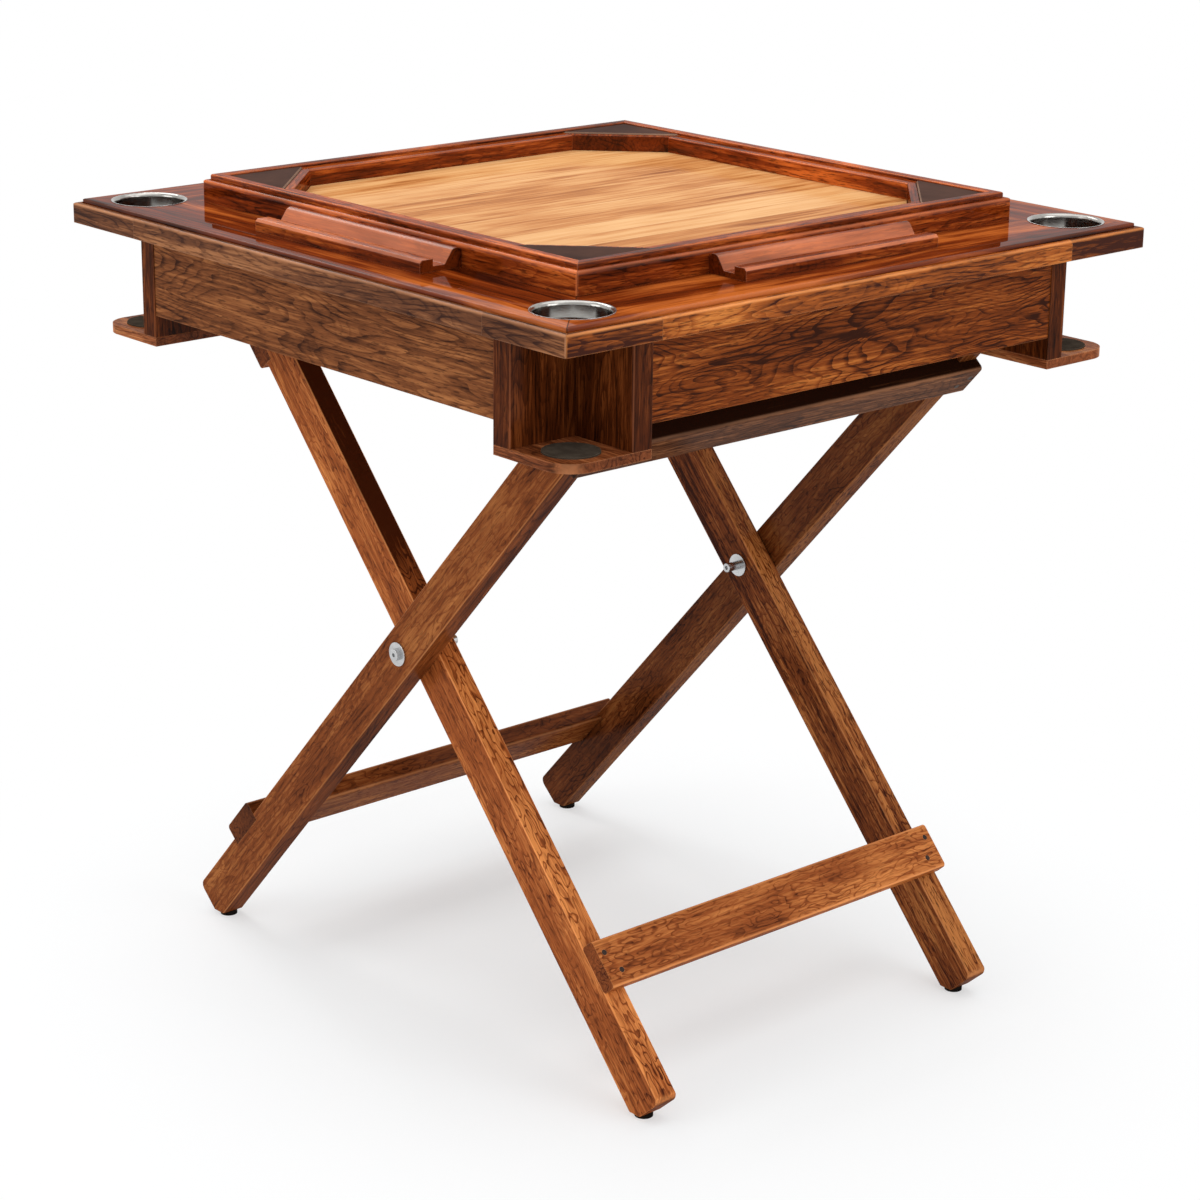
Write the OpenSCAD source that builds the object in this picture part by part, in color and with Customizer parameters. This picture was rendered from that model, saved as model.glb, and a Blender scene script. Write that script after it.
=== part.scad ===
// Folding domino table: a square top with four drink boxes, a raised playing
// well and four tile racks, carried on a scissor stand of two leg frames.
// Units are millimetres. Z is up and the floor is at z = 0.
// The front is the -Y side and the outer leg frame is hinged near the +X side.

/* [Table top] */
// Side of the square top over the rim
table_side = 750; // [700:5:800]
// Height of the deck's upper face above the floor
deck_height = 793; // [770:1:820]
// Thickness of the deck boards
deck_t = 12; // [9:0.5:15]
// Set-back of the deck's seat from the rim's outer face
deck_setback = 6; // [4:0.5:9]
// Width of the shadow gap round the deck
deck_gap = 1; // [0.5:0.5:2]
// Radius of the deck's upper edge
deck_edge_r = 3; // [1:0.5:3.5]
// Height by which the deck stands above the rim
deck_proud = 4; // [2:0.5:6]
// Height of the rim moulding
rim_h = 20; // [17:0.5:24]
// Radius of the rim's upper outer edge
rim_edge_r = 4; // [1:0.5:6]
// Radius of the rim's upright corners
corner_r = 3; // [1:0.5:5]
// Length of the separate pieces at the ends of each rim side
rim_end = 109; // [90:1:125]

/* [Aprons and drink boxes] */
// Set-back of the drink box ends from the rim's outer face
box_inset = 18; // [15:0.5:22]
// Set-back of the aprons behind the drink box ends
apron_inset = 1; // [0.5:0.5:3]
// Thickness of the apron boards
apron_t = 22; // [18:0.5:24]
// Depth of the aprons below the deck
apron_h = 90; // [75:1:100]
// Thickness of the drink box walls
wall_t = 22; // [18:0.5:24]
// Distance from a hole's centre to the box walls
box_reach = 38; // [36:0.5:42]
// Height of the drink compartments
box_h = 112; // [105:1:125]
// Thickness of the drink shelves
shelf_t = 9; // [6:0.5:12]
// Radius of the shelf's outer corner
shelf_corner_r = 28; // [10:1:40]
// Distance from the rim's outer face to a hole's centre
hole_inset = 55; // [54:0.5:58]
// Diameter of the clear hole for a drink can
hole_d = 68; // [60:0.5:70]
// Wall thickness of the steel hole liners
ring_t = 1; // [0.6:0.1:1.5]
// Radius of the liner's rolled lip
ring_lip_r = 3.5; // [2.5:0.5:5]
// Depth of the steel liner's sleeve
ring_depth = 14; // [13:0.5:20]
// Thickness of the rubber shelf pads
pad_t = 3; // [2:0.5:4]
// Diameter of the rubber shelf pads
pad_d = 52; // [40:1:58]

/* [Playing well] */
// Distance from the rim's outer face to the raised frame
frame_inset = 93; // [88:1:98]
// Height of the frame's outer bead above the deck
bead_h = 22; // [18:0.5:24]
// Width of the outer bead
bead_w = 6; // [4:0.5:7]
// Height of the frame's inner strip above the bead
strip_rise = 5.5; // [4:0.5:8]
// Thickness of the raised frame boards
frame_t = 17; // [15:0.5:20]
// Thickness of the lining boards inside the frame
lining_t = 17; // [14:0.5:20]
// Drop of the lining below the frame's inner strip
lining_drop = 3; // [2:0.5:5]
// Cut-off of each corner of the eight-sided well
well_corner = 73; // [60:1:85]
// Height of the playing board above the deck
board_rise = 8; // [6:0.5:10]
// Thickness of the corner plates
plate_t = 4; // [3:0.5:5]
// Width of the wooden band in front of a corner plate
plate_band = 9; // [7:0.5:11]

/* [Tile racks] */
// Length of a tile rack
rack_len = 250; // [200:5:300]
// Depth of a tile rack from its front to the frame
rack_w = 48; // [44:0.5:52]
// Height of the rack's rounded back
rack_h = 19; // [17:0.5:20]
// Height of the rack's front lip
lip_h = 12; // [10:0.5:13]
// Width of the rack's front lip
lip_w = 15; // [12:0.5:17]
// Height of the groove floor above the deck
groove_floor = 5.5; // [4:0.5:7]
// Width of the groove floor
groove_w = 13.5; // [12:0.5:15]

/* [Leg stand] */
// Height of the scissor pivot above the floor
pivot_height = 385.5; // [380:0.5:405]
// Offset of the scissor pivot from the table's centre
pivot_x = -5; // [-8:0.5:0]
// Width of the leg boards
leg_w = 46; // [42:0.5:50]
// Thickness of the leg boards
leg_t = 26; // [24:0.5:28]
// Gap between the outer legs and the drink box walls
leg_side_gap = 3; // [2:0.5:5]
// Gap between an outer and an inner leg
leg_gap = 1; // [0.8:0.1:2]
// Radius of the legs' long edges
leg_edge_r = 2; // [1:0.5:3]
// Height of the bearers under the deck
bearer_h = 34; // [30:0.5:40]
// Width of the top rails
top_rail_w = 40; // [36:1:48]
// Thickness of the top rails
top_rail_t = 22; // [14:0.5:23]
// Depth of the notches that hold the top rails
rail_notch = 10; // [8:0.5:12]
// Distance from the centre of a leg's upper end to the middle of its top rail
top_rail_drop = 92; // [90:0.5:115]
// Width of the outer stretcher
outer_stretcher_w = 53; // [44:1:58]
// Thickness of the outer stretcher
outer_stretcher_t = 23; // [18:0.5:26]
// Depth of the notches that hold the outer stretcher
stretcher_notch = 8; // [5:0.5:12]
// Distance from a leg's lower end to the middle of the outer stretcher
outer_stretcher_rise = 125; // [100:1:150]
// Width of the inner stretcher
inner_stretcher_w = 49; // [44:1:56]
// Thickness of the inner stretcher
inner_stretcher_t = 18; // [14:0.5:20]
// Distance from a leg's lower end to the middle of the inner stretcher
inner_stretcher_rise = 139; // [115:1:165]
// Radius of the rail boards' long edges
rail_edge_r = 4; // [2:0.5:5]
// Height of the rubber feet
foot_h = 5; // [4:0.5:8]
// Diameter of the rubber feet
foot_d = 18; // [16:0.5:22]
// Height trimmed off the lowest corner of each leg
foot_trim = 8; // [6:0.5:9]

/* [Fittings] */
// Diameter of the scissor pivot bolts
bolt_d = 6; // [5:0.5:7]
// Diameter of the large pivot washers
washer_d = 24; // [24:1:32]
// Thickness of the pivot washers
washer_t = 2; // [1.5:0.1:3]
// Diameter of the bolt heads
bolt_head_d = 12; // [11:0.5:14]
// Height of the bolt heads
bolt_head_h = 4; // [3:0.5:6]
// Diameter of the barrel nuts
barrel_d = 9.5; // [9:0.5:12]
// Length of the barrel nuts
barrel_len = 16; // [12:0.5:20]
// Across-flats width of the hexagon sockets
socket_w = 4; // [3:0.5:5]
// Diameter of the leg hinge screws
hinge_d = 8; // [6:0.5:10]
// Diameter of the hinge screw heads
hinge_head_d = 16; // [14:0.5:18]
// Depth of the hinge screws in the drink box walls
hinge_grip = 16; // [12:0.5:17]
// Diameter of the wood screws
screw_d = 3; // [2.5:0.1:3.5]
// Diameter of the wood screw heads
screw_head_d = 5.5; // [5:0.5:8]
// Distance of the wood screws from a board's edges
screw_edge = 14; // [11:0.5:16]
// Depth of the wood screws in the legs
screw_grip = 12; // [8:0.5:14]

/* [Hidden] */

// Running clearance on a pivot, clearance in a seat, end play beside a
// turning leg, and gap at a stop
run_fit = 0.05;
seat_fit = 0.02;
end_play = 0.02;
stop_gap = 0.3;
// How far a cut runs past the wood that it goes through
over = 1;
// Small gaps and radii that do not depend on the table's size
plate_gap = 1.5;
plate_bevel = 1.2;
plate_proud = 1.5;
board_gap = 0.5;
rim_seam = 0.2;
ring_proud = 0.6;
pad_proud = 1.5;
bead_r = 4;
quirk = 1;
arris = 2;
lip_chamfer = 2.5;
rack_back_r = 7.5;
leg_end_r = 9;
socket_depth = 3;
thread_len = 11;
screw_head_t = 2;
screw_spread = 5;
spacer_d = 24;
$fn = 72;

// The top, from the rim inwards
half = table_side / 2;
rim_top = deck_height - deck_proud;
rim_bottom = rim_top - rim_h;
deck_under = deck_height - deck_t;
deck_half = half - deck_setback - deck_gap;
box_out = half - box_inset;
apron_out = box_out - apron_inset;
apron_in = apron_out - apron_t;
hole_c = half - hole_inset;
sleeve_r = hole_d / 2 + ring_t;
wall_out = hole_c - box_reach;
wall_in = wall_out - wall_t;
shelf_top = deck_under - box_h;

// The playing well
frame_out = half - frame_inset;
frame_in = frame_out - frame_t;
strip_out = frame_out - bead_w;
lining_in = frame_in - lining_t;
bead_top = deck_height + bead_h;
strip_top = bead_top + strip_rise;
lining_top = strip_top - lining_drop;
well_cut = lining_in - well_corner;
well_sum = lining_in + well_cut;
plate_bed = lining_top + plate_proud - plate_t;

// The tile rack, as distances from the table's centre
rack_front = frame_out + rack_w;
lip_back = rack_front - lip_w;
groove_back = lip_back - groove_w;
rack_top = deck_height + rack_h;

// The stand: the outer frame is hinged at its top, and the inner frame's
// round tops stand against the opposite apron, under the bearers.
leg_r = leg_w / 2;
bearer_under = deck_under - bearer_h;
hinge_z = bearer_under - stop_gap - leg_r;
hinge_x = 2 * pivot_x + apron_in - stop_gap - leg_r;
leg_up = norm([hinge_x - pivot_x, hinge_z - pivot_height]);
leg_angle = atan2(hinge_z - pivot_height, hinge_x - pivot_x);
corner_z = foot_h - foot_trim;
leg_down = (pivot_height - corner_z - leg_r * cos(leg_angle)) / sin(leg_angle);
foot_x = (leg_r - leg_end_r) * sin(leg_angle) - (leg_down - leg_end_r) * cos(leg_angle);
outer_y = wall_in - leg_side_gap;
outer_back = outer_y - leg_t;
inner_y = outer_back - leg_gap;
inner_back = inner_y - leg_t;
nut_top = inner_back - end_play - washer_t;
top_rail_s = leg_up - top_rail_drop;
top_rail_face = leg_r - rail_notch + top_rail_t;

red_wood = "#7a2e12";
brown_wood = "#8a4a22";
leg_wood = "#7d4319";
honey_wood = "#dfa46a";
plate_black = "#3a2016";
steel = "#c9ccd0";
rubber = "#1c1c1c";

module on_side(side) {
    rotate([0, 0, 90 * side])
        children();
}

module at_corner(x_sign, y_sign) {
    mirror([x_sign < 0 ? 1 : 0, 0, 0])
        mirror([0, y_sign < 0 ? 1 : 0, 0])
            children();
}

module at_every_corner() {
    for (x_sign = [-1, 1], y_sign = [-1, 1])
        at_corner(x_sign, y_sign)
            children();
}

module at_both_ends() {
    for (y_sign = [-1, 1])
        at_corner(1, y_sign)
            children();
}

// Runs a profile of (distance from the centre, height) along the front side
module along_side(reach) {
    translate([-reach, 0, 0])
        rotate([90, 0, 90])
            linear_extrude(2 * reach)
                mirror([1, 0])
                    children();
}

module mitred_side(reach) {
    intersection() {
        along_side(reach)
            children();
        linear_extrude(strip_top + over)
            polygon([[0, 0], [-reach, -reach], [reach, -reach]]);
    }
}

// Extrudes an (x, z) outline from y = near to y = far_y
module across(near, far_y) {
    translate([0, far_y, 0])
        rotate([90, 0, 0])
            linear_extrude(far_y - near)
                children();
}

module rod(x, z, near, far_y, r) {
    translate([x, near, z])
        rotate([-90, 0, 0])
            cylinder(h = far_y - near, r = r);
}

module cone(x, z, near, far_y, near_r, far_r) {
    translate([x, near, z])
        rotate([-90, 0, 0])
            cylinder(h = far_y - near, r1 = near_r, r2 = far_r);
}

// A rectangle between two corners whose upper right corner is round
module round_corner(low, high, r) {
    difference() {
        translate(low)
            square(high - low);
        translate(high - [r, r])
            difference() {
                square(2 * r);
                circle(r);
            }
    }
}

// The same with both upper corners round
module round_top(low, high, r) {
    middle = (low.x + high.x) / 2;
    round_corner([middle, low.y], high, r);
    translate([2 * middle, 0])
        mirror([1, 0])
            round_corner([middle, low.y], high, r);
}

// A rectangle about the origin with four round corners
module round_rect(w, h, r) {
    square([w - 2 * r, h], center = true);
    square([w, h - 2 * r], center = true);
    for (x = [-1, 1], y = [-1, 1])
        translate([x * (w / 2 - r), y * (h / 2 - r)])
            circle(r);
}

// Rounds the upright corners of what is drawn about the table's centre
module round_corners(reach, r) {
    intersection() {
        children();
        linear_extrude(strip_top + over)
            round_rect(2 * reach, 2 * reach, r);
    }
}

// The deck is a mitred frame of four boards round the playing board, and
// each mitre runs through the middle of a hole
module deck_board(side) {
    color(red_wood)
        on_side(side)
            difference() {
                round_corners(deck_half, corner_r)
                    mitred_side(deck_half)
                        round_corner([lining_in, deck_under], [deck_half, deck_height], deck_edge_r);
                for (x = [-hole_c, hole_c])
                    translate([x, -hole_c, 0])
                        liner_seat();
            }
}

// The rim is rebated for the deck, and each side is a long piece between two
// end pieces
module rim(side) {
    color(brown_wood)
        on_side(side)
            difference() {
                round_corners(half, corner_r)
                    mitred_side(half)
                        difference() {
                            round_corner([box_out, rim_bottom], [half, rim_top], rim_edge_r);
                            translate([box_out - over, deck_under])
                                square([half - deck_setback - box_out + over, deck_t]);
                        }
                for (x = [rim_end - half, half - rim_end])
                    translate([x - rim_seam / 2, -half - over, rim_bottom - over])
                        cube([rim_seam, half - box_out + 2 * over, rim_h + 2 * over]);
            }
}

module apron(side) {
    color(brown_wood)
        on_side(side)
            along_side(wall_in)
                translate([apron_in, deck_under - apron_h])
                    square([apron_t, apron_h]);
}

// The drink box wall that stands square to the front or back apron
module box_side(x_sign, y_sign) {
    color(brown_wood)
        at_corner(x_sign, y_sign)
            translate([0, 0, shelf_top])
                linear_extrude(box_h)
                    round_corner([wall_in, wall_in], [wall_out, box_out], arris);
}

// The drink box wall that stands square to a side apron. The right-hand
// ones carry the hinge screws of the outer legs.
module box_end(x_sign, y_sign) {
    color(brown_wood)
        at_corner(x_sign, y_sign)
            difference() {
                translate([0, 0, shelf_top])
                    linear_extrude(box_h)
                        round_corner([wall_out, wall_in], [box_out, wall_out], arris);
                if (x_sign > 0)
                    rod(hinge_x, hinge_z, wall_in - over, wall_in + hinge_grip, hinge_d / 2 + seat_fit);
            }
}

module shelf(x_sign, y_sign) {
    color(brown_wood)
        at_corner(x_sign, y_sign)
            difference() {
                translate([0, 0, shelf_top - shelf_t])
                    linear_extrude(shelf_t)
                        round_corner([wall_in, wall_in], [box_out, box_out], shelf_corner_r);
                translate([hole_c, hole_c, shelf_top + pad_proud - pad_t])
                    cylinder(h = pad_t, d = pad_d + 2 * seat_fit);
            }
}

module shelf_pads() {
    color(rubber)
        at_every_corner()
            translate([hole_c, hole_c, shelf_top + pad_proud - pad_t])
                cylinder(h = pad_t, d = pad_d);
}

// The liner's lip rolls over from the deck's surface into the sleeve
module lip_section() {
    translate([hole_d / 2, deck_height - ring_depth])
        square([ring_t, ring_depth + ring_proud - ring_lip_r]);
    translate([hole_d / 2 + ring_lip_r, deck_height + ring_proud - ring_lip_r])
        intersection() {
            difference() {
                circle(ring_lip_r);
                circle(ring_lip_r - ring_t);
            }
            translate([-2 * ring_lip_r, 0])
                square(2 * ring_lip_r);
        }
}

module cup_rings() {
    color(steel)
        at_every_corner()
            translate([hole_c, hole_c, 0])
                rotate_extrude()
                    lip_section();
}

// What the liner takes out of the deck boards
module liner_seat() {
    lip_low = deck_height + ring_proud - ring_lip_r;
    translate([0, 0, deck_under - over])
        cylinder(h = deck_t + 2 * over, r = sleeve_r + seat_fit);
    rotate_extrude()
        difference() {
            translate([sleeve_r + seat_fit, lip_low])
                square([ring_lip_r - ring_t - seat_fit, ring_lip_r]);
            translate([hole_d / 2 + ring_lip_r, lip_low])
                circle(ring_lip_r - ring_t - seat_fit);
        }
}

module frame_side_board(side) {
    color(red_wood)
        on_side(side)
            round_corners(frame_out, corner_r)
                mitred_side(frame_out)
                    difference() {
                        union() {
                            round_corner([frame_in, deck_height], [frame_out, bead_top], bead_r);
                            round_top([frame_in, deck_height], [strip_out, strip_top], arris);
                        }
                        translate([strip_out, bead_top - quirk])
                            square([quirk, strip_rise]);
                    }
}

module lining(side) {
    color(red_wood)
        on_side(side)
            along_side(well_cut)
                round_top([lining_in, deck_height], [frame_in, lining_top], arris);
}

// Outline of a corner plate, or of its bed when grown
function plate_outline(grow) =
    let (outer = frame_in - plate_gap + grow,
         tip = well_cut + plate_gap - grow,
         sum = well_sum + sqrt(2) * (plate_band - grow))
    [[outer, outer], [outer, tip], [sum - tip, tip], [tip, sum - tip], [tip, outer]];

module corner_blocks() {
    color(red_wood)
        at_every_corner()
            difference() {
                translate([0, 0, deck_height])
                    linear_extrude(lining_top - deck_height)
                        polygon([[frame_in, frame_in], [well_cut, frame_in], [well_cut, lining_in],
                                 [lining_in, well_cut], [frame_in, well_cut]]);
                translate([0, 0, plate_bed])
                    linear_extrude(plate_t)
                        polygon(plate_outline(plate_gap / 2));
            }
}

module corner_plates() {
    color(plate_black)
        at_every_corner()
            hull() {
                translate([0, 0, plate_bed])
                    linear_extrude(plate_t - plate_bevel)
                        polygon(plate_outline(0));
                translate([0, 0, plate_bed])
                    linear_extrude(plate_t)
                        polygon(plate_outline(-plate_bevel));
            }
}

// The slatted board lies on the bearers, inside the deck boards and linings
module playing_board() {
    reach = lining_in - board_gap;
    cut = well_sum - sqrt(2) * board_gap - reach;
    color(honey_wood)
        translate([0, 0, deck_under])
            linear_extrude(deck_t + board_rise)
                polygon([[reach, -cut], [reach, cut], [cut, reach], [-cut, reach],
                         [-reach, cut], [-reach, -cut], [-cut, -reach], [cut, -reach]]);
}

// The rack's slope runs from the groove up to a tangent on its round back
module rack(side) {
    base = [groove_back, deck_height + groove_floor];
    crown = [frame_out + rack_back_r - lip_chamfer / 2, rack_top - rack_back_r];
    toward = crown - base;
    slope = atan2(toward.y, toward.x) - asin(rack_back_r / norm(toward));
    run = sqrt(toward * toward - rack_back_r * rack_back_r);
    touch = base + run * [cos(slope), sin(slope)];
    color(red_wood)
        on_side(side)
            along_side(rack_len / 2) {
                polygon([[frame_out, deck_height], [rack_front, deck_height],
                         [rack_front, deck_height + lip_h - lip_chamfer],
                         [rack_front - lip_chamfer, deck_height + lip_h],
                         [lip_back, deck_height + lip_h],
                         [lip_back, base.y], base, touch, crown, [frame_out, crown.y]]);
                intersection() {
                    translate(crown)
                        circle(rack_back_r);
                    translate([frame_out, deck_height])
                        square([rack_w, rack_h]);
                }
            }
}

module bearer(y_sign) {
    color(brown_wood)
        at_corner(1, y_sign)
            translate([-apron_in, inner_back, bearer_under])
                cube([2 * apron_in, leg_t, bearer_h]);
}

module hinge_screw(extra) {
    rod(hinge_x, hinge_z, outer_back - extra, wall_in + hinge_grip, hinge_d / 2 + extra);
    cone(hinge_x, hinge_z, outer_back, outer_back + (hinge_head_d - hinge_d) / 2,
         hinge_head_d / 2 + extra, hinge_d / 2 + extra);
}

module hinge_screws() {
    color(steel)
        at_both_ends()
            hinge_screw(0);
}

module hinge_spacers() {
    color(steel)
        at_both_ends()
            difference() {
                rod(hinge_x, hinge_z, outer_y + end_play, wall_in, spacer_d / 2);
                rod(hinge_x, hinge_z, outer_y - over, wall_in + over, hinge_d / 2 + seat_fit);
            }
}

// Inside, x runs up along a leg from the scissor pivot, and +z is its upper
// face. The inner frame leans the other way.
module leg_frame(inner) {
    translate([pivot_x, 0, pivot_height])
        mirror([inner ? 1 : 0, 0, 0])
            rotate([0, -leg_angle, 0])
                children();
}

// Screws through the board at middle, w wide and thick, whose outer face is at
// height face
module board_screws(inner, middle, w, thick, face, extra) {
    leg_middle = (inner ? inner_back : outer_back) + leg_t / 2;
    at_both_ends()
        for (step = [-1, 1])
            translate([middle + step * (w / 2 - screw_edge), leg_middle + step * screw_spread, face]) {
                translate([0, 0, -screw_head_t])
                    cylinder(h = screw_head_t + extra, d = screw_head_d + 2 * extra);
                translate([0, 0, -thick - screw_grip])
                    cylinder(h = thick + screw_grip, d = screw_d + 2 * extra);
            }
}

function stretcher_x(inner) = (inner ? inner_stretcher_rise : outer_stretcher_rise) - leg_down;
function stretcher_w(inner) = inner ? inner_stretcher_w : outer_stretcher_w;
function stretcher_t(inner) = inner ? inner_stretcher_t : outer_stretcher_t;
function stretcher_low(inner) = leg_r - (inner ? 0 : stretcher_notch);

module frame_screws(inner, extra) {
    leg_frame(inner) {
        board_screws(inner, stretcher_x(inner), stretcher_w(inner), stretcher_t(inner),
                     stretcher_low(inner) + stretcher_t(inner), extra);
        mirror([0, 0, 1])
            board_screws(inner, top_rail_s, top_rail_w, top_rail_t, top_rail_face, extra);
    }
}

module leg_outline() {
    square_from = -leg_down + leg_end_r;
    translate([square_from, -leg_r])
        square([leg_up - square_from, leg_w]);
    translate([-leg_down, -leg_r + leg_end_r])
        square([leg_end_r, leg_w - 2 * leg_end_r]);
    for (z = [-1, 1])
        translate([square_from, z * (leg_r - leg_end_r)])
            circle(leg_end_r);
    translate([leg_up, 0])
        circle(leg_r);
}

// The room that a cross board w wide takes in a leg from height low to high
module notch(middle, w, back, low, high) {
    translate([middle - w / 2 - seat_fit, back - over, low])
        cube([w + 2 * seat_fit, leg_t + 2 * over, high - low]);
}

module leg(inner, y_sign) {
    back = inner ? inner_back : outer_back;
    color(leg_wood)
        at_corner(1, y_sign)
            difference() {
                leg_frame(inner)
                    difference() {
                        intersection() {
                            across(back, back + leg_t)
                                leg_outline();
                            translate([-leg_down - over, back + leg_t / 2, 0])
                                rotate([90, 0, 90])
                                    linear_extrude(leg_down + leg_up + leg_r + 2 * over)
                                        round_rect(leg_t, leg_w, leg_edge_r);
                        }
                        rod(0, 0, back - over, back + leg_t + over,
                            bolt_d / 2 + (inner ? run_fit : seat_fit));
                        notch(top_rail_s, top_rail_w, back, -leg_w, rail_notch - leg_r + seat_fit);
                        if (!inner)
                            notch(stretcher_x(false), outer_stretcher_w, back,
                                  stretcher_low(false) - seat_fit, leg_w);
                    }
                frame_screws(inner, seat_fit);
                if (!inner)
                    hinge_screw(run_fit);
                translate([-table_side, 0, foot_h - leg_w])
                    cube([2 * table_side, half, leg_w]);
            }
}

module cross_board(inner, middle, w, low, thick) {
    reach = inner ? inner_y : outer_y;
    color(leg_wood)
        difference() {
            leg_frame(inner)
                translate([middle, 0, low + thick / 2])
                    across(-reach, reach)
                        round_rect(w, thick, rail_edge_r);
            frame_screws(inner, seat_fit);
        }
}

module top_rail(inner) {
    cross_board(inner, top_rail_s, top_rail_w, -top_rail_face, top_rail_t);
}

module stretcher(inner) {
    cross_board(inner, stretcher_x(inner), stretcher_w(inner), stretcher_low(inner), stretcher_t(inner));
}

module feet(inner) {
    back = inner ? inner_back : outer_back;
    lean = inner ? -1 : 1;
    color(rubber)
        at_both_ends()
            translate([pivot_x + lean * foot_x, back + leg_t / 2, 0])
                cylinder(h = foot_h, d = foot_d);
}

module screws(inner) {
    color(steel)
        frame_screws(inner, 0);
}

// The bolt runs from a washer outside the outer leg into a barrel nut that
// stands out inside the inner leg
module pivot_bolts() {
    head = outer_y + washer_t;
    color(steel)
        at_both_ends()
            difference() {
                union() {
                    rod(pivot_x, pivot_height, nut_top - thread_len, head, bolt_d / 2);
                    rod(pivot_x, pivot_height, head, head + bolt_head_h, bolt_head_d / 2);
                }
                socket(head + bolt_head_h - socket_depth);
            }
}

module socket(near) {
    translate([pivot_x, near, pivot_height])
        rotate([-90, 0, 0])
            cylinder(h = socket_depth + over, d = socket_w / cos(30), $fn = 6);
}

module pivot_washer(near, thick) {
    difference() {
        rod(pivot_x, pivot_height, near, near + thick, washer_d / 2);
        rod(pivot_x, pivot_height, near - over, near + thick + over, bolt_d / 2 + stop_gap);
    }
}

module pivot_washers() {
    color(steel)
        at_both_ends() {
            pivot_washer(outer_y, washer_t);
            pivot_washer(inner_y + end_play, leg_gap - end_play);
            pivot_washer(nut_top, washer_t);
        }
}

module barrel_nuts() {
    end = nut_top - barrel_len;
    color(steel)
        at_both_ends()
            difference() {
                rod(pivot_x, pivot_height, end, nut_top, barrel_d / 2);
                rod(pivot_x, pivot_height, nut_top - thread_len - over, nut_top + over,
                    bolt_d / 2 + seat_fit);
                socket(end - over);
            }
}

deck_board(0);  // deck_front
deck_board(1);  // deck_right
deck_board(2);  // deck_back
deck_board(3);  // deck_left
rim(0);  // rim_front
rim(1);  // rim_right
rim(2);  // rim_back
rim(3);  // rim_left
apron(0);  // apron_front
apron(1);  // apron_right
apron(2);  // apron_back
apron(3);  // apron_left
box_side(1, -1);  // box_side_front_right
box_side(1, 1);  // box_side_back_right
box_side(-1, 1);  // box_side_back_left
box_side(-1, -1);  // box_side_front_left
box_end(1, -1);  // box_end_front_right
box_end(1, 1);  // box_end_back_right
box_end(-1, 1);  // box_end_back_left
box_end(-1, -1);  // box_end_front_left
shelf(1, -1);  // shelf_front_right
shelf(1, 1);  // shelf_back_right
shelf(-1, 1);  // shelf_back_left
shelf(-1, -1);  // shelf_front_left
cup_rings();
shelf_pads();
frame_side_board(0);  // frame_front
frame_side_board(1);  // frame_right
frame_side_board(2);  // frame_back
frame_side_board(3);  // frame_left
lining(0);  // lining_front
lining(1);  // lining_right
lining(2);  // lining_back
lining(3);  // lining_left
corner_blocks();
corner_plates();
playing_board();
rack(0);  // rack_front
rack(1);  // rack_right
rack(2);  // rack_back
rack(3);  // rack_left
bearer(-1);  // bearer_front
bearer(1);  // bearer_back
hinge_screws();
hinge_spacers();
leg(false, -1);  // outer_leg_front
leg(false, 1);  // outer_leg_back
top_rail(false);  // outer_top_rail
stretcher(false);  // outer_stretcher
feet(false);  // outer_feet
screws(false);  // outer_screws
pivot_bolts();
pivot_washers();
barrel_nuts();
leg(true, -1);  // inner_leg_front
leg(true, 1);  // inner_leg_back
top_rail(true);  // inner_top_rail
stretcher(true);  // inner_stretcher
feet(true);  // inner_feet
screws(true);  // inner_screws
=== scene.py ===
"""Looks of the domino table: procedural lacquered woods, steel and rubber on
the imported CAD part, a pale studio floor, soft lamps and the photo's camera.
Lengths are metres, and the table's front faces -Y."""

import math

import bpy
from mathutils import Matrix, Vector

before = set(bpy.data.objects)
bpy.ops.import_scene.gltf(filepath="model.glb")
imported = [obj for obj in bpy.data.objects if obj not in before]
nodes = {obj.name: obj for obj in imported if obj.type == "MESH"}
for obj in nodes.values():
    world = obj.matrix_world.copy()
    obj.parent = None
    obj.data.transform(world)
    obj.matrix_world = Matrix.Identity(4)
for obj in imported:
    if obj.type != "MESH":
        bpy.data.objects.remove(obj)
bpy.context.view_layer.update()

# Slope of the legs
LEG_ANGLE = math.radians(47.889)
# Distance of a rim's two joints from the middle of its side
RIM_SEAM = 0.266
# Differences of |x| and |y| between which a deck mitre's dark line fades in
MITRE_LINE = (0.0011, 0.0005)
# Width of one slat of the playing board
SLAT = 0.038
# Heights between which the painted shade under the table top sets in
UNDER_TOP = (0.33, 0.53)

# The values that a noise mostly keeps to
NOISE_RANGE = (0.3, 0.7)
# Part of the normal along a direction, from a face that slopes away to one
# that counts as square to it
SQUARE = (0.5, 0.6)
# Part of the normal along a board's nearest direction, from flat to round
ROUND_EDGE = (0.985, 0.80)
# Part of the rounded normal along the flat one, from flat to a sharp edge
SHARP_EDGE = (0.995, 0.80)


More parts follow.
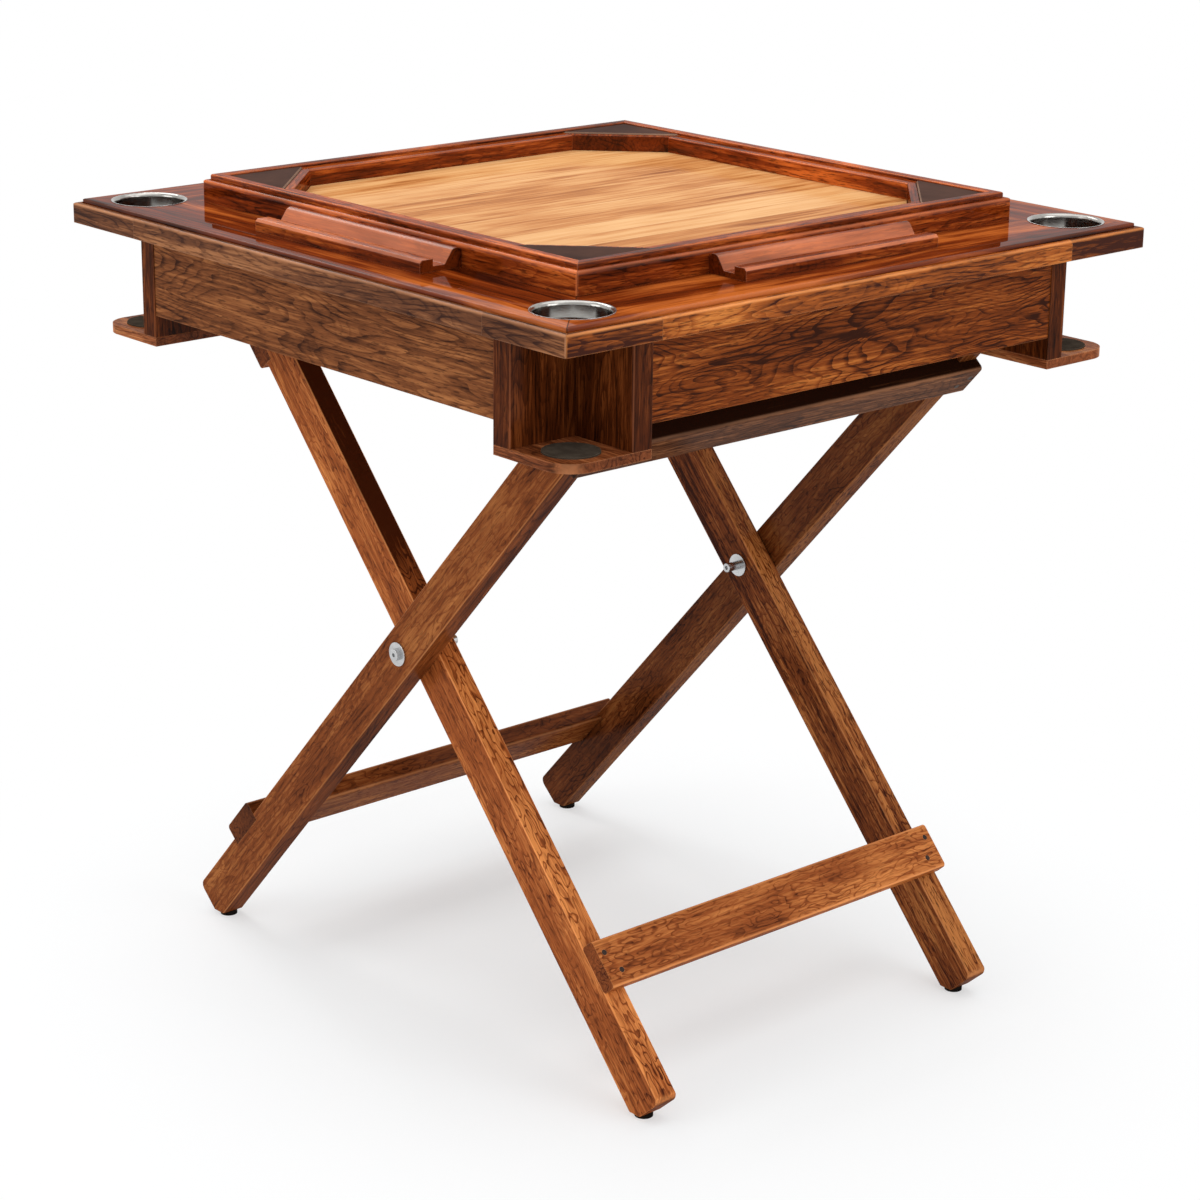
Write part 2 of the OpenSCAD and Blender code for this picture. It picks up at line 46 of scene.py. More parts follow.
class Graph:
    """Builds the node tree of a material or the world, one call per node."""

    def __init__(self, owner, output="ShaderNodeOutputMaterial"):
        owner.use_nodes = True
        self.owner = owner
        self.tree = owner.node_tree
        self.tree.nodes.clear()
        self.surface = self.tree.nodes.new(output).inputs["Surface"]

    def put(self, socket, value):
        """Links a socket to another, or sets it to a number, vector or colour."""
        if isinstance(value, bpy.types.NodeSocket):
            self.tree.links.new(value, socket)
        elif socket.type == "RGBA":
            socket.default_value = (*value, 1.0)
        else:
            socket.default_value = value

    def node(self, kind, inputs=None, **settings):
        made = self.tree.nodes.new(kind)
        for key, value in settings.items():
            setattr(made, key, value)
        for key, value in (inputs or {}).items():
            self.put(made.inputs[key], value)
        return made

    def math(self, operation, a, b=0.0):
        return self.node("ShaderNodeMath", {0: a, 1: b}, operation=operation).outputs[0]

    def fold(self, operation, total, *others):
        """Joins values one after the other by the same operation."""
        for other in others:
            total = self.math(operation, total, other)
        return total

    def add(self, *terms):
        return self.fold("ADD", *terms)

    def most(self, *values):
        return self.fold("MAXIMUM", *values)

    def times(self, a, b):
        return self.math("MULTIPLY", a, b)

    def apart(self, a, b):
        return self.math("ABSOLUTE", self.math("SUBTRACT", a, b))

    def swing(self, noise, amount):
        """How far a noise lies from its middle, times amount."""
        return self.times(self.math("SUBTRACT", noise, 0.5), amount)

    def vector(self, operation, a, b):
        inputs = {0: a, 1: b}
        return self.node("ShaderNodeVectorMath", inputs, operation=operation).outputs[0]

    def unsigned(self, vector):
        return self.vector("ABSOLUTE", vector, (0, 0, 0))

    def split(self, vector):
        return self.node("ShaderNodeSeparateXYZ", {0: vector}).outputs

    def place(self):
        return self.node("ShaderNodeTexCoord").outputs["Object"]

    def flat_normal(self):
        return self.node("ShaderNodeNewGeometry").outputs["Normal"]

    def mapped(self, vector, offset=(0, 0, 0), turn=(0, 0, 0)):
        inputs = {"Vector": vector, "Location": offset, "Rotation": turn}
        return self.node("ShaderNodeMapping", inputs).outputs[0]

    def noise(self, vector, stretch, detail=3, rough=0.5, output="Fac"):
        """Noise with about stretch waves a metre along X, Y and Z."""
        inputs = {"Vector": self.vector("MULTIPLY", vector, stretch), "Scale": 1.0,
                  "Detail": detail, "Roughness": rough}
        return self.node("ShaderNodeTexNoise", inputs).outputs[output]

    def wander(self, vector, stretch, amount, detail=2):
        """The vector pushed about by a noise, within a box of amount metres."""
        colour = self.noise(vector, stretch, detail, output="Color")
        push = self.vector("SUBTRACT", colour, (0.5, 0.5, 0.5))
        return self.vector("ADD", vector, self.vector("MULTIPLY", push, amount))

    def remap(self, value, low, high, to_low=0.0, to_high=1.0, kind="LINEAR"):
        inputs = {"Value": value, "From Min": low, "From Max": high,
                  "To Min": to_low, "To Max": to_high}
        return self.node("ShaderNodeMapRange", inputs, interpolation_type=kind).outputs[0]

    def spread(self, noise, low=0.0, high=1.0):
        """A noise's usual range stretched from low to high."""
        return self.remap(noise, *NOISE_RANGE, low, high)

    def ramp(self, value, positions, colours):
        made = self.node("ShaderNodeValToRGB", {"Fac": value})
        stops = made.color_ramp.elements
        while len(stops) < len(positions):
            stops.new(0.5)
        for stop, position, colour in zip(stops, positions, colours):
            stop.position = position
            stop.color = (*colour, 1.0)
        return made.outputs["Color"]

    def mix(self, amount, a, b):
        """The colour that lies amount of the way from a to b."""
        inputs = {"Factor": amount, 6: a, 7: b}
        return self.node("ShaderNodeMix", inputs, data_type="RGBA").outputs[2]

    def bump(self, height, normal, strength, distance):
        inputs = {"Strength": strength, "Distance": distance, "Height": height, "Normal": normal}
        return self.node("ShaderNodeBump", inputs).outputs[0]

    def shader(self, **inputs):
        """Shows a Principled shader. In the names _ stands for a space."""
        made = self.node("ShaderNodeBsdfPrincipled")
        for key, value in inputs.items():
            self.put(made.inputs[key.replace("_", " ")], value)
        self.tree.links.new(made.outputs[0], self.surface)
        return made.outputs[0]

    def show_between(self, amount, a, b):
        """Shows the shader that lies amount of the way from a to b."""
        made = self.node("ShaderNodeMixShader", {0: amount})
        self.tree.links.new(a, made.inputs[1])
        self.tree.links.new(b, made.inputs[2])
        self.tree.links.new(made.outputs[0], self.surface)


def material_graph(name):
    return Graph(bpy.data.materials.new(name))


def edge_mask(g, radius):
    """1 on sharp edges and 0 on flat faces, with the rounded normal."""
    rounded = g.node("ShaderNodeBevel", {"Radius": radius}, samples=4).outputs[0]
    inputs = {0: rounded, 1: g.flat_normal()}
    alike = g.node("ShaderNodeVectorMath", inputs, operation="DOT_PRODUCT").outputs["Value"]
    return g.remap(alike, *SHARP_EDGE), rounded


def face_normal(g, turn):
    """Size of the normal's part along each of the board's own directions."""
    normal = g.node("ShaderNodeTexCoord").outputs["Normal"]
    return g.split(g.unsigned(g.mapped(normal, turn=turn)))


def board_edges(g, mask, facing):
    """1 on sharp edges and on the rounds between a board's flat faces."""
    nearest = g.most(facing["X"], facing["Y"], facing["Z"])
    return g.most(mask, g.remap(nearest, *ROUND_EDGE))


def srgb(*value):
    """Linear colour of an 8-bit sRGB triple."""
    return tuple(v / 255 / 12.92 if v <= 10 else ((v / 255 + 0.055) / 1.055) ** 2.4
                 for v in value)


def scaled(colour, factor):
    return tuple(v * factor for v in colour)


def toned(stain, factor):
    return tuple(scaled(colour, factor) for colour in stain)


# Stains: dark line, body, light streak
RED = (srgb(44, 12, 3), srgb(118, 46, 12), srgb(192, 98, 38))
RIM_BROWN = (srgb(52, 24, 12), srgb(110, 65, 38), srgb(172, 114, 72))
RIM_ORANGE = (srgb(56, 20, 6), srgb(152, 78, 27), srgb(206, 126, 58))
BROWN = (srgb(54, 26, 12), srgb(122, 70, 38), srgb(178, 114, 66))
RED_BROWN = (srgb(48, 18, 5), srgb(120, 56, 18), srgb(178, 102, 44))
BOX = (srgb(30, 10, 3), srgb(82, 36, 12), srgb(138, 72, 32))
SHELF = (srgb(62, 28, 12), srgb(130, 70, 38), srgb(192, 124, 76))
LEG = (srgb(62, 24, 8), srgb(142, 74, 34), srgb(206, 130, 70))
RAIL = (srgb(40, 20, 11), srgb(92, 54, 32), srgb(150, 98, 62))
DECK = (srgb(46, 12, 3), srgb(108, 40, 8), srgb(178, 92, 36))
DECK_MITRE = srgb(34, 12, 6)
# Colour of the deck's lighter edges, partly rubbed and partly a painted highlight
DECK_EDGE = srgb(150, 84, 48)
# The slats: brown streak, two honey tones, light streak
HONEY = (srgb(122, 62, 24), srgb(184, 121, 68), srgb(206, 152, 98), srgb(222, 177, 125))
SLAT_JOINT = srgb(104, 56, 26)
# Colour of the painted highlight on the slats' sharp edges
SLAT_EDGE = srgb(240, 204, 160)
# The corner plates and the wood screws: darker and lighter clouds
PLATE = (srgb(52, 30, 22), srgb(76, 48, 36))
# Colour of the plates' light bevels, partly rubbed and partly a painted highlight
PLATE_EDGE = srgb(176, 140, 116)
BLACKENED = (srgb(30, 18, 12), srgb(54, 36, 26))
BLACKENED_EDGE = srgb(92, 66, 48)
STEEL = srgb(206, 207, 208)
RING_STEEL = srgb(172, 169, 164)
STEEL_EDGE = srgb(240, 240, 238)
# Rubbers: clean, dusty
FOOT_RUBBER = (srgb(24, 20, 18), srgb(50, 44, 40))
PAD_RUBBER = (srgb(62, 54, 46), srgb(96, 86, 74))

# Turns of a piece that bring its grain onto X
ALONG_X = (0, 0, 0)
ALONG_Y = (0, 0, math.pi / 2)
UPRIGHT = (0, math.pi / 2, 0)
ACROSS = (0, 0, math.pi / 4)
SIDE_TURNS = {"front": ALONG_X, "right": ALONG_Y, "back": ALONG_X, "left": ALONG_Y}

# Growth lines: how their smooth field is stretched, how many lines its range
# of values makes, and how far they wander
STRAIGHT = ((3, 26, 26), 22.0, 0.003)
FLAMES = ((4.5, 24, 24), 27.0, 0.004)
FLECKS = ((30, 95, 95), 7.0, 0.004)

# Plain wood's tone, and where a stain's three colours lie on the tones' scale
PLAIN_TONE = 0.55
STAIN_STOPS = (0.12, 0.52, 0.92)
# How far the stripes, the blotches and end grain move the tone
STRIPE_DEPTH = 1.25
MOTTLE_DEPTH = 1.7
END_SHADE = 0.18


def growth_lines(g, at, stretch, count, amount):
    """Dark late-wood lines: the level lines of a smooth field, strong in
    places and faint elsewhere."""
    bent = g.wander(at, (30, 90, 90), (amount, amount, amount))
    field = g.noise(bent, stretch, detail=1.6, rough=0.42)
    saw = g.math("FRACT", g.times(field, count))
    line = g.remap(saw, 0.58, 0.97, kind="SMOOTHSTEP")
    patches = g.noise(at, (9, 21, 21), detail=2)
    return g.times(line, g.remap(patches, 0.36, 0.60, 0.40, 1.0))


def wood(name, stain, turn, offset, lines, swirl, mottle, haze, coat, edge_wear_and_highlight,
         narrow_curls_and_painted_light=0.0, painted_face_shade=0.0, seams=0.0, under=0.0, stripe=1.0, curls=FLAMES):
    """Lacquered wood with its grain along the turned X axis.

    lines, swirl, mottle, stripe: strength of the growth lines, the curls, the
        blotches, and the fibre with its streaks
    haze, coat: roughness and strength of the lacquer
    edge_wear_and_highlight: how light the edges are, partly rubbed and partly a painted
    highlight
    narrow_curls_and_painted_light: more curls, and a painted light that makes the
    tone lighter (a painted shade when below 0), on the faces square to the turned Z
    painted_face_shade: a painted shade that darkens the faces square to the turned Y
    seams: a darker tone on the ends beyond a rim's joints
    under: a painted shade near the table top, on the faces square to the
    turned Z
    """
    dark, _, light = stain
    g = material_graph(name)
    at = g.mapped(g.place(), offset, turn)
    facing = face_normal(g, turn)
    end_on, face_on, side_on = (g.remap(facing[axis], *SQUARE) for axis in "XYZ")
    if seams:
        # The short pieces at a rim's ends are cut from another place
        along = g.math("ABSOLUTE", g.split(g.mapped(g.place(), turn=turn))["X"])
        outer = g.math("GREATER_THAN", along, RIM_SEAM)
        at = g.vector("ADD", at, g.vector("MULTIPLY", outer, (0.7, 0.4, 0.9)))
    bent = g.wander(at, (6, 30, 30), (0.0, 0.006, 0.006))
    fibre = g.noise(bent, (13, 300, 300), detail=4, rough=0.62)
    streak = g.noise(bent, (4, 60, 60), rough=0.55)
    pores = g.noise(bent, (70, 760, 760), detail=2)
    blotch = g.noise(at, (6, 19, 19), rough=0.55)
    grain = growth_lines(g, at, *STRAIGHT)
    curl = growth_lines(g, g.wander(at, (14, 22, 22), (0.012, 0.008, 0.008)), *curls)

    # fibre + 0.6 streak has its middle at 0.8. End grain shows 0.4 of it.
    stripes = g.math("SUBTRACT", g.add(fibre, g.times(streak, 0.6)), 0.8)
    strength = g.remap(end_on, 0, 1, stripe, 0.4 * stripe)
    figure = g.add(swirl, g.times(side_on, narrow_curls_and_painted_light))
    tone = g.add(PLAIN_TONE,
                 g.times(stripes, g.times(strength, STRIPE_DEPTH)),
                 g.swing(blotch, mottle * MOTTLE_DEPTH),
                 g.times(grain, -lines),
                 g.times(g.times(curl, figure), -1.0),
                 # Painted light and shade: the faces square to the turned Z lighter (darker when
                 # below 0), the faces square to the turned Y darker
                 g.times(side_on, narrow_curls_and_painted_light),
                 g.times(face_on, -painted_face_shade),
                 g.times(end_on, -END_SHADE))
    if seams:
        tone = g.add(tone, g.times(outer, -seams))
    # Painted shade: the faces square to the turned Z darker near the table top, where its shadow
    # falls
    if under:
        high = g.remap(g.split(g.place())["Z"], *UNDER_TOP)
        tone = g.add(tone, g.times(g.times(side_on, high), -under))

    base = g.ramp(tone, STAIN_STOPS, stain)
    # Short dark pores
    pit = g.times(g.remap(pores, 0.56, 0.64), strength)
    base = g.mix(g.times(pit, 0.65), base, dark)
    # Unevenly light edges: partly rubbed, partly a painted highlight of the lacquer, on sharp
    # edges and on the rounds between faces
    mask, rounded = edge_mask(g, radius=0.0014)
    uneven = g.remap(blotch, 0.35, 0.65, 0.5 * edge_wear_and_highlight, 1.4 * edge_wear_and_highlight)
    worn_and_highlit = g.math("MINIMUM", g.times(board_edges(g, mask, facing), uneven), 1.0)
    # The edges' colour: the stain's light colour, with a painted highlight that grows with the
    # lacquer's coat
    bare_and_highlight = tuple(min(1.0, 1.15 * v + 0.15 * coat) for v in light)
    height = g.add(fibre, g.times(pit, -0.5))
    g.shader(Base_Color=g.mix(worn_and_highlit, base, bare_and_highlight), Specular_IOR_Level=0.0,
             Roughness=g.spread(fibre, haze + 0.25, haze + 0.40),
             Normal=g.bump(height, rounded, strength=0.14, distance=0.0004),
             Coat_Weight=coat, Coat_IOR=1.5,
             Coat_Roughness=g.spread(blotch, haze * 0.8, haze * 1.3),
             Coat_Normal=g.bump(streak, rounded, strength=0.05, distance=0.001))
    return g.owner


def deck_wood(name, turn, offset):
    """The deck's deep red-brown wood under a mirror-like lacquer, with a fine
    dark line along the mitres."""
    g = material_graph(name)
    at = g.mapped(g.place(), offset, turn)
    bent = g.wander(at, (4, 16, 16), (0.0, 0.03, 0.03), detail=3)
    streak = g.noise(bent, (3, 44, 44), detail=4, rough=0.6)
    fibre = g.noise(bent, (14, 320, 320), rough=0.6)
    cloud = g.noise(at, (5, 12, 12), detail=2)
    tone = g.add(PLAIN_TONE, g.swing(streak, 1.9), g.swing(fibre, 0.7), g.swing(cloud, 0.9))
    base = g.ramp(tone, (0.18, 0.55, 0.92), DECK)
    spot = g.split(g.unsigned(g.place()))
    mitre = g.remap(g.apart(spot["X"], spot["Y"]), *MITRE_LINE)
    base = g.mix(g.times(mitre, 0.75), base, DECK_MITRE)
    mask, rounded = edge_mask(g, radius=0.0012)
    # Lighter edges: partly rubbed, partly a painted highlight
    worn_and_highlit = board_edges(g, mask, face_normal(g, turn))
    base = g.mix(g.times(worn_and_highlit, 0.15), base, DECK_EDGE)
    ripple = g.noise(g.place(), (9, 9, 9), detail=1, rough=0.4)
    g.shader(Base_Color=base, Roughness=g.spread(fibre, 0.35, 0.45), Specular_IOR_Level=0.0,
             Normal=g.bump(fibre, rounded, strength=0.05, distance=0.0003),
             Coat_Weight=0.32, Coat_Roughness=0.02, Coat_IOR=1.5,
             Coat_Normal=g.bump(ripple, rounded, strength=0.02, distance=0.002))
    return g.owner


def slat_wood(name):
    """Honey slats along Y with fine joints, each slat with its own tone and
    long irregular brown streaks."""
    g = material_graph(name)
    at = g.place()
    count = g.math("DIVIDE", g.split(at)["X"], SLAT)
    own = g.node("ShaderNodeTexWhiteNoise", {"W": g.math("FLOOR", count)},
                 noise_dimensions="1D").outputs
    joint = g.remap(g.apart(g.math("FRACT", count), 0.5), 0.490, 0.498)
    local = g.vector("ADD", at, g.vector("MULTIPLY", own["Color"], (3.0, 7.0, 5.0)))
    bent = g.wander(local, (26, 7, 26), (0.007, 0.010, 0.007))
    streak = g.noise(bent, (110, 3.6, 110), detail=4, rough=0.62)
    fibre = g.noise(bent, (460, 11, 460), rough=0.6)
    cloud = g.noise(local, (18, 7, 18), detail=2)
    heart = g.remap(g.noise(bent, (60, 5, 60), rough=0.6), 0.55, 0.66)
    tone = g.add(0.58, g.swing(streak, 0.8), g.swing(fibre, 0.6), g.swing(cloud, 0.6),
                 g.remap(own["Value"], 0, 1, -0.17, 0.17), g.times(heart, -0.20))
    base = g.ramp(tone, (0.08, 0.40, 0.60, 0.95), HONEY)
    base = g.mix(g.times(joint, 0.55), base, SLAT_JOINT)
    height = g.math("SUBTRACT", g.times(fibre, 0.2), joint)
    mask, rounded = edge_mask(g, radius=0.001)
    # A painted highlight along the sharp edges
    base = g.mix(g.times(mask, 0.3), base, SLAT_EDGE)
    g.shader(Base_Color=base, Roughness=g.spread(fibre, 0.36, 0.50), Specular_IOR_Level=0.0,
             Normal=g.bump(height, rounded, strength=0.25, distance=0.0004),
             Coat_Weight=0.15, Coat_Roughness=0.12, Coat_IOR=1.4)
    return g.owner


def plate(name):
    """Dark brown polished corner plate with faint scratches and light bevels."""
    g = material_graph(name)
    at = g.place()
    cloud = g.noise(at, (18, 18, 18), detail=4, rough=0.6)
    scratch = g.noise(g.mapped(at, turn=(0, 0, 0.6)), (30, 900, 30), detail=2)
    base = g.ramp(cloud, NOISE_RANGE, PLATE)
    mask, rounded = edge_mask(g, radius=0.0006)
    # Lighter bevels and edges: partly rubbed, partly a painted highlight
    bevel = g.remap(face_normal(g, ALONG_X)["Z"], 0.99, 0.90)
    worn_and_highlit = g.times(g.most(mask, bevel), g.spread(cloud, 0.25, 0.5))
    base = g.mix(worn_and_highlit, base, PLATE_EDGE)
    rough = g.add(g.spread(cloud, 0.22, 0.30), g.times(g.remap(scratch, 0.6, 0.7), 0.15))
    g.shader(Base_Color=base, Roughness=rough, Specular_IOR_Level=0.0,
             Normal=g.bump(scratch, rounded, strength=0.05, distance=0.0002),
             Coat_Weight=0.09, Coat_Roughness=0.04, Coat_IOR=1.4)
    return g.owner


def steel(name, bright, rough_low, rough_high):
    """Metal with a brushed grain, a cloudy tone and lighter worn edges."""
    g = material_graph(name)
    at = g.place()
    brushed = g.noise(at, (200, 200, 2400), rough=0.6)
    cloud = g.noise(at, (60, 60, 60), rough=0.6)
    mask, rounded = edge_mask(g, radius=0.0005)
    base = g.mix(g.spread(cloud), scaled(bright, 0.72), bright)
    base = g.mix(g.times(mask, 0.6), base, STEEL_EDGE)
    g.shader(Base_Color=base, Metallic=1.0, Roughness=g.spread(brushed, rough_low, rough_high),
             Normal=g.bump(brushed, rounded, strength=0.08, distance=0.0001))
    return g.owner


def rubber(name, clean, dusty):
    """Matte rubber with a fine grain, dusty patches and paler edges."""
    g = material_graph(name)
    at = g.place()
    grain = g.noise(at, (900, 900, 900), rough=0.6)
    dust = g.noise(at, (70, 70, 70), rough=0.6)
    mask, rounded = edge_mask(g, radius=0.0008)
    base = g.mix(g.remap(dust, 0.4, 0.8, 0.0, 0.5), clean, dusty)
    base = g.mix(g.times(mask, 0.5), base, scaled(dusty, 1.8))
    g.shader(Base_Color=base, Roughness=g.spread(grain, 0.55, 0.8), Specular_IOR_Level=0.0,
             Normal=g.bump(grain, rounded, strength=0.3, distance=0.0003))
    return g.owner


def blackened(name):
    """Black-brown finish of the wood screws, scuffed at the edges."""
    g = material_graph(name)
    cloud = g.noise(g.place(), (300, 300, 300), rough=0.6)
    mask, rounded = edge_mask(g, radius=0.0004)
    base = g.mix(g.spread(cloud), *BLACKENED)
    base = g.mix(g.times(mask, 0.4), base, BLACKENED_EDGE)
    g.shader(Base_Color=base, Roughness=g.spread(cloud, 0.42, 0.58), Specular_IOR_Level=0.2,
             Normal=g.bump(cloud, rounded, strength=0.1, distance=0.0001))
    return g.owner


def leg_turn(node):
    """Turns a leg's direction onto the grain axis."""
    return (0, LEG_ANGLE if node.startswith("outer") else -LEG_ANGLE, 0)


def rail_turn(node):
    """Turns a cross board's length onto the grain axis and its face onto Z."""
    across = Matrix.Rotation(math.pi / 2, 3, "Z")
    lean = Matrix.Rotation(leg_turn(node)[1], 3, "Y")
    return tuple((across @ lean).to_euler("XYZ"))


# How each kind of board is finished, in the words of wood()
FINISHES = {
    "frame": dict(lines=0.18, swirl=0.08, mottle=0.7, haze=0.06, coat=0.28, edge_wear_and_highlight=0.45),
    "rack": dict(lines=0.18, swirl=0.08, mottle=0.7, haze=0.10, coat=0.5, edge_wear_and_highlight=0.5),
    "rim": dict(lines=0.30, swirl=0.16, mottle=0.45, haze=0.10, coat=0.22, edge_wear_and_highlight=0.6),
    "apron": dict(lines=0.32, mottle=0.35, haze=0.22, coat=0.12, edge_wear_and_highlight=0.5),
    "bearer": dict(lines=0.3, swirl=0.3, mottle=0.5, haze=0.2, coat=0.1, edge_wear_and_highlight=0.5),
    "box": dict(lines=0.24, swirl=0.10, mottle=0.5, haze=0.14, coat=0.13, edge_wear_and_highlight=0.5),
    "shelf": dict(lines=0.25, swirl=0.12, mottle=0.5, haze=0.14, coat=0.16, edge_wear_and_highlight=0.6),
    "block": dict(lines=0.18, swirl=0.10, mottle=0.7, haze=0.06, coat=0.28, edge_wear_and_highlight=0.4),
    "leg": dict(lines=0.14, mottle=0.6, haze=0.24, coat=0.12, edge_wear_and_highlight=0.6, curls=FLECKS),
    # The top rail's faces square to its turned Y, the upper one in the table top's shadow, get a
    # painted shade
    "top_rail": dict(lines=0.24, swirl=0.14, mottle=0.45, haze=0.2, coat=0.14, edge_wear_and_highlight=0.5,
                     painted_face_shade=0.6),
    "cross_board": dict(lines=0.14, swirl=0.22, mottle=0.5, haze=0.2, coat=0.14, edge_wear_and_highlight=0.6,
                        narrow_curls_and_painted_light=0.08, stripe=0.6, curls=FLECKS),
}
# What differs from leg to leg: the figure, and painted light and shade on some faces and near
# the table top
LEG_FINISHES = {
    "outer_leg_front": dict(swirl=0.18, narrow_curls_and_painted_light=-0.18, stripe=0.6),
    "outer_leg_back": dict(swirl=0.26, narrow_curls_and_painted_light=0.14, stripe=0.6),
    "inner_leg_front": dict(swirl=0.26, narrow_curls_and_painted_light=0.24, stripe=0.6, under=0.95),
    "inner_leg_back": dict(swirl=0.22, narrow_curls_and_painted_light=0.26, stripe=1.3, painted_face_shade=0.10),
}
# Painted light and shade: how much lighter or darker than their stain the boards of the stand
# are painted, where they differ from it
PAINTED_LIGHT_AND_SHADE = {"outer_leg_front": 0.76, "inner_leg_front": 1.25, "outer_leg_back": 0.44,
          "inner_leg_back": 0.72, "outer_stretcher": 0.58, "inner_stretcher": 1.1}


def board(node, kind, stain, turn, offset, **own):
    return wood(node, stain, turn, offset, **FINISHES[kind], **own)


def top_material(node, offset):
    """The material of a piece of the table top, or None for another piece. The
    first word of its name says what it is, and mostly the last one says on
    which side."""
    kind, side = node.split("_")[0], node.split("_")[-1]
    turn = SIDE_TURNS.get(side)
    front_or_back = side in ("front", "back")
    if kind == "deck":
        return deck_wood(node, turn, offset)
    if kind in ("frame", "lining"):
        # The front and back frames and linings are painted lighter, a painted light
        return board(node, "frame", toned(RED, 1.3 if front_or_back else 1.0), turn, offset)
    if kind == "rack":
        return board(node, "rack", RED, turn, offset)
    if kind == "rim":
        stain, seams = (RIM_BROWN, 0.12) if front_or_back else (RIM_ORANGE, 0.32)
        return board(node, "rim", stain, turn, offset, seams=seams)
    if kind == "apron":
        stain, swirl = (BROWN, 0.10) if front_or_back else (RED_BROWN, 0.38)
        return board(node, "apron", stain, turn, offset, swirl=swirl)
    if kind == "bearer":
        return board(node, "bearer", toned(BOX, 0.8), ALONG_X, offset)
    if kind == "box":
        return board(node, "box", toned(BOX, 0.88), UPRIGHT, offset)
    if node == "shelf_pads":
        return rubber(node, *PAD_RUBBER)
    if kind == "shelf":
        return board(node, "shelf", toned(SHELF, 1.12), ALONG_X, offset)
    if node == "corner_blocks":
        return board(node, "block", RED, ACROSS, offset)
    if node == "corner_plates":
        return plate(node)
    if node == "playing_board":
        return slat_wood(node)
    if node == "cup_rings":
        return steel(node, RING_STEEL, rough_low=0.12, rough_high=0.24)
    return None


def stand_material(node, offset):
    """The material of a piece of the stand, its hinges or its pivots."""
    # The leg stain, lighter or darker by the painted light and shade
    stain = toned(LEG, PAINTED_LIGHT_AND_SHADE.get(node, 1.0))
    if node in LEG_FINISHES:
        return board(node, "leg", stain, leg_turn(node), offset, **LEG_FINISHES[node])
    if node == "outer_top_rail":
        return board(node, "top_rail", RAIL, rail_turn(node), offset)
    if node.endswith(("rail", "stretcher")):
        return board(node, "cross_board", stain, rail_turn(node), offset)
    if node.endswith("feet"):
        return rubber(node, *FOOT_RUBBER)
    if node in ("outer_screws", "inner_screws"):
        return blackened(node)
    return steel(node, STEEL, rough_low=0.18, rough_high=0.30)


# Each piece is cut from another place of the same wood
for number, node in enumerate(sorted(nodes), 1):
    offset = (0.37 * (number % 7), 0.23 * (number % 5), 0.31 * (number % 11))
    materials = nodes[node].data.materials
    materials.clear()
    materials.append(top_material(node, offset) or stand_material(node, offset))


# The floor and the light

FLOOR_SIZE = 60
PAPER = (0.89, 0.915, 0.93)
WHITE = (1.0, 1.0, 1.0)
# Distances from the table's middle between which the floor turns white, and
# how white it is before them
FADE_FROM, FADE_TO = 0.10, 0.85
WHITE_UNDER_TABLE = 0.26
# Strength of the backdrop, and of the world's light on the scene
BACKDROP = 1.0
WORLD_LIGHT = 0.75


def studio_floor():
    """Pale paper that turns into the white backdrop away from the table."""
    g = material_graph("floor_paper")
    spot = g.place()
    grain = g.noise(spot, (260, 260, 260), detail=2)
    away = g.node("ShaderNodeVectorMath", {0: spot}, operation="LENGTH").outputs["Value"]
    whiteness = g.remap(away, FADE_FROM, FADE_TO, WHITE_UNDER_TABLE, 1.0, "SMOOTHSTEP")
    path = g.node("ShaderNodeLightPath").outputs
    seen = g.most(path["Is Camera Ray"], path["Is Glossy Ray"])
    paper = g.shader(Base_Color=PAPER, Roughness=g.spread(grain, 0.55, 0.65),
                     Specular_IOR_Level=0.1,
                     Normal=g.bump(grain, g.flat_normal(), strength=0.03, distance=0.0005))
    white = g.node("ShaderNodeEmission", {"Color": WHITE, "Strength": BACKDROP})
    g.show_between(g.times(whiteness, seen), paper, white.outputs[0])
    bpy.ops.mesh.primitive_plane_add(size=FLOOR_SIZE, location=(0, 0, 0))
    floor = bpy.context.object
    floor.name = "studio_floor"
    floor.data.materials.append(g.owner)


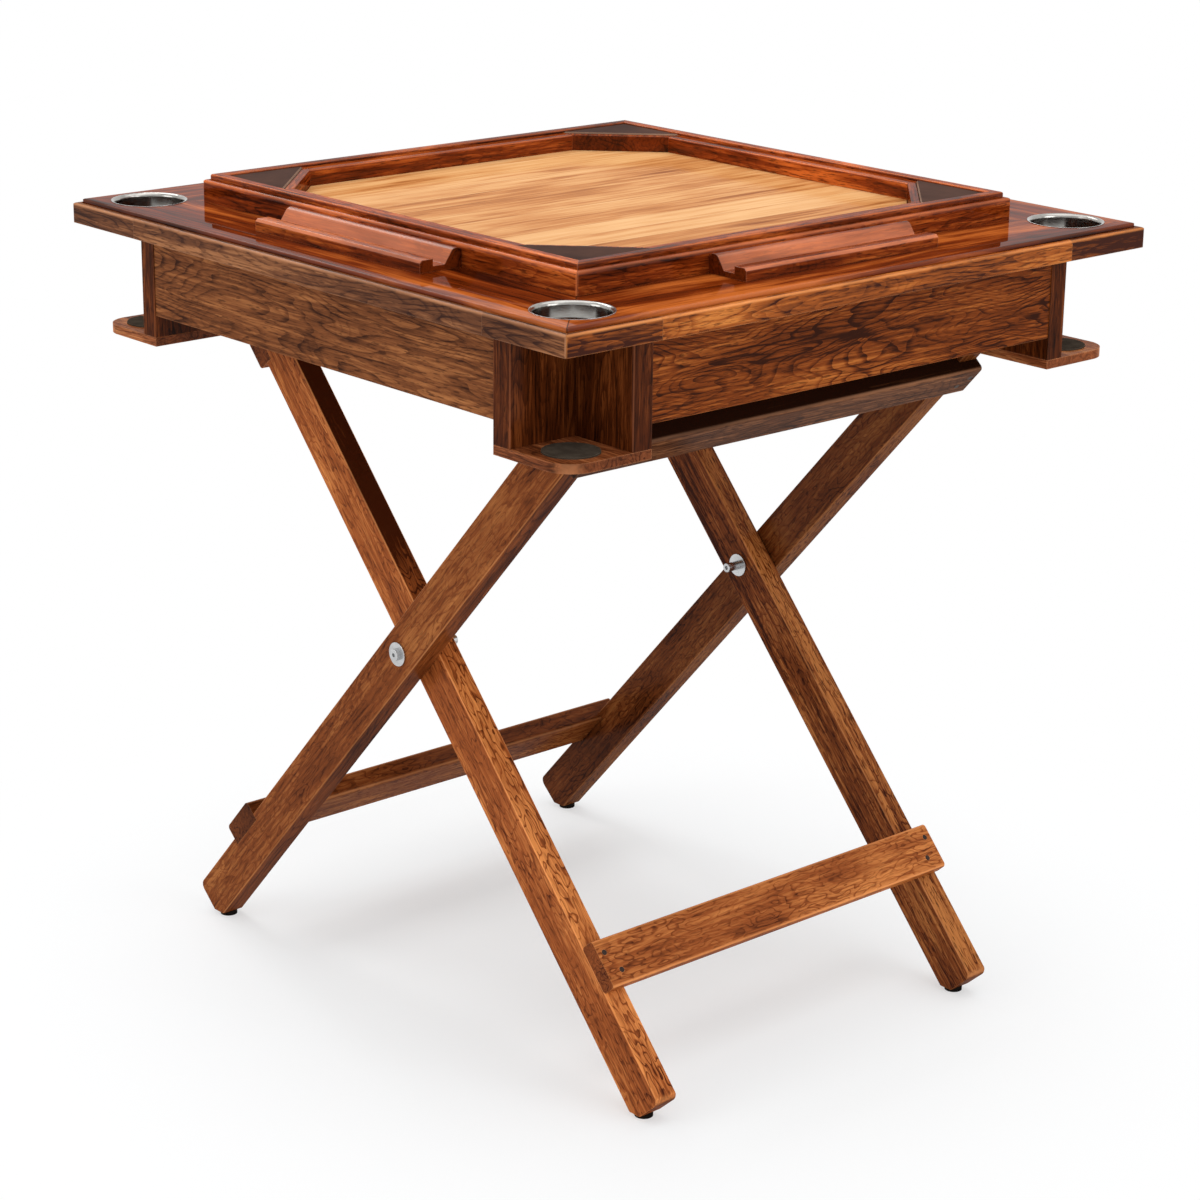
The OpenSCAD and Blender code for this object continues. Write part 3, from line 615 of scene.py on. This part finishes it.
def studio_world():
    """White where it is seen, and a soft grey light elsewhere."""
    world = bpy.data.worlds.new("studio")
    bpy.context.scene.world = world
    g = Graph(world, "ShaderNodeOutputWorld")
    path = g.node("ShaderNodeLightPath").outputs
    seen = g.most(path["Is Camera Ray"], path["Is Glossy Ray"], path["Is Transmission Ray"])
    light = g.node("ShaderNodeBackground", {"Color": WHITE, "Strength": WORLD_LIGHT})
    white = g.node("ShaderNodeBackground", {"Color": WHITE, "Strength": BACKDROP})
    g.show_between(seen, light.outputs[0], white.outputs[0])


def softbox(name, place, aim_height, width, height, power):
    """A rectangular lamp that faces the table's upright axis at aim_height."""
    data = bpy.data.lights.new(name, "AREA")
    data.shape = "RECTANGLE"
    data.size = width
    data.size_y = height
    data.energy = power
    lamp = bpy.data.objects.new(name, data)
    bpy.context.scene.collection.objects.link(lamp)
    lamp.location = place
    facing = Vector((0, 0, aim_height)) - Vector(place)
    lamp.rotation_euler = facing.to_track_quat("-Z", "Y").to_euler()


def photo_camera():
    """The photo's camera, fitted to the table's straight edges."""
    place = Vector((2.2444, -2.0039, 1.3632))
    target = Vector((0.2019, -0.1790, 0.4765))
    roll = math.radians(0.714)
    look = (target - place).normalized()
    level = look.cross(Vector((0, 0, 1))).normalized()
    rise = level.cross(look)
    right = level * math.cos(roll) + rise * math.sin(roll)
    up = rise * math.cos(roll) - level * math.sin(roll)
    data = bpy.data.cameras.new("photo_camera")
    data.sensor_fit = "HORIZONTAL"
    data.sensor_width = 36.0
    data.lens = 92.44
    camera = bpy.data.objects.new("photo_camera", data)
    turn = Matrix((right, up, -look)).transposed().to_4x4()
    camera.matrix_world = Matrix.Translation(place) @ turn
    bpy.context.scene.collection.objects.link(camera)
    bpy.context.scene.camera = camera


studio_floor()
studio_world()
softbox("top_softbox", (0.2, 0.1, 2.6), aim_height=0.5, width=2.4, height=2.4, power=24)
softbox("left_softbox", (-2.0, 0.1, 2.7), aim_height=0.6, width=1.3, height=1.3, power=20)
softbox("right_softbox", (3.0, 0.6, 1.6), aim_height=0.5, width=1.6, height=1.8, power=24)
softbox("front_softbox", (-0.8, -3.0, 1.6), aim_height=0.5, width=1.6, height=1.8, power=18)
photo_camera()
bpy.context.scene.view_settings.view_transform = "Standard"
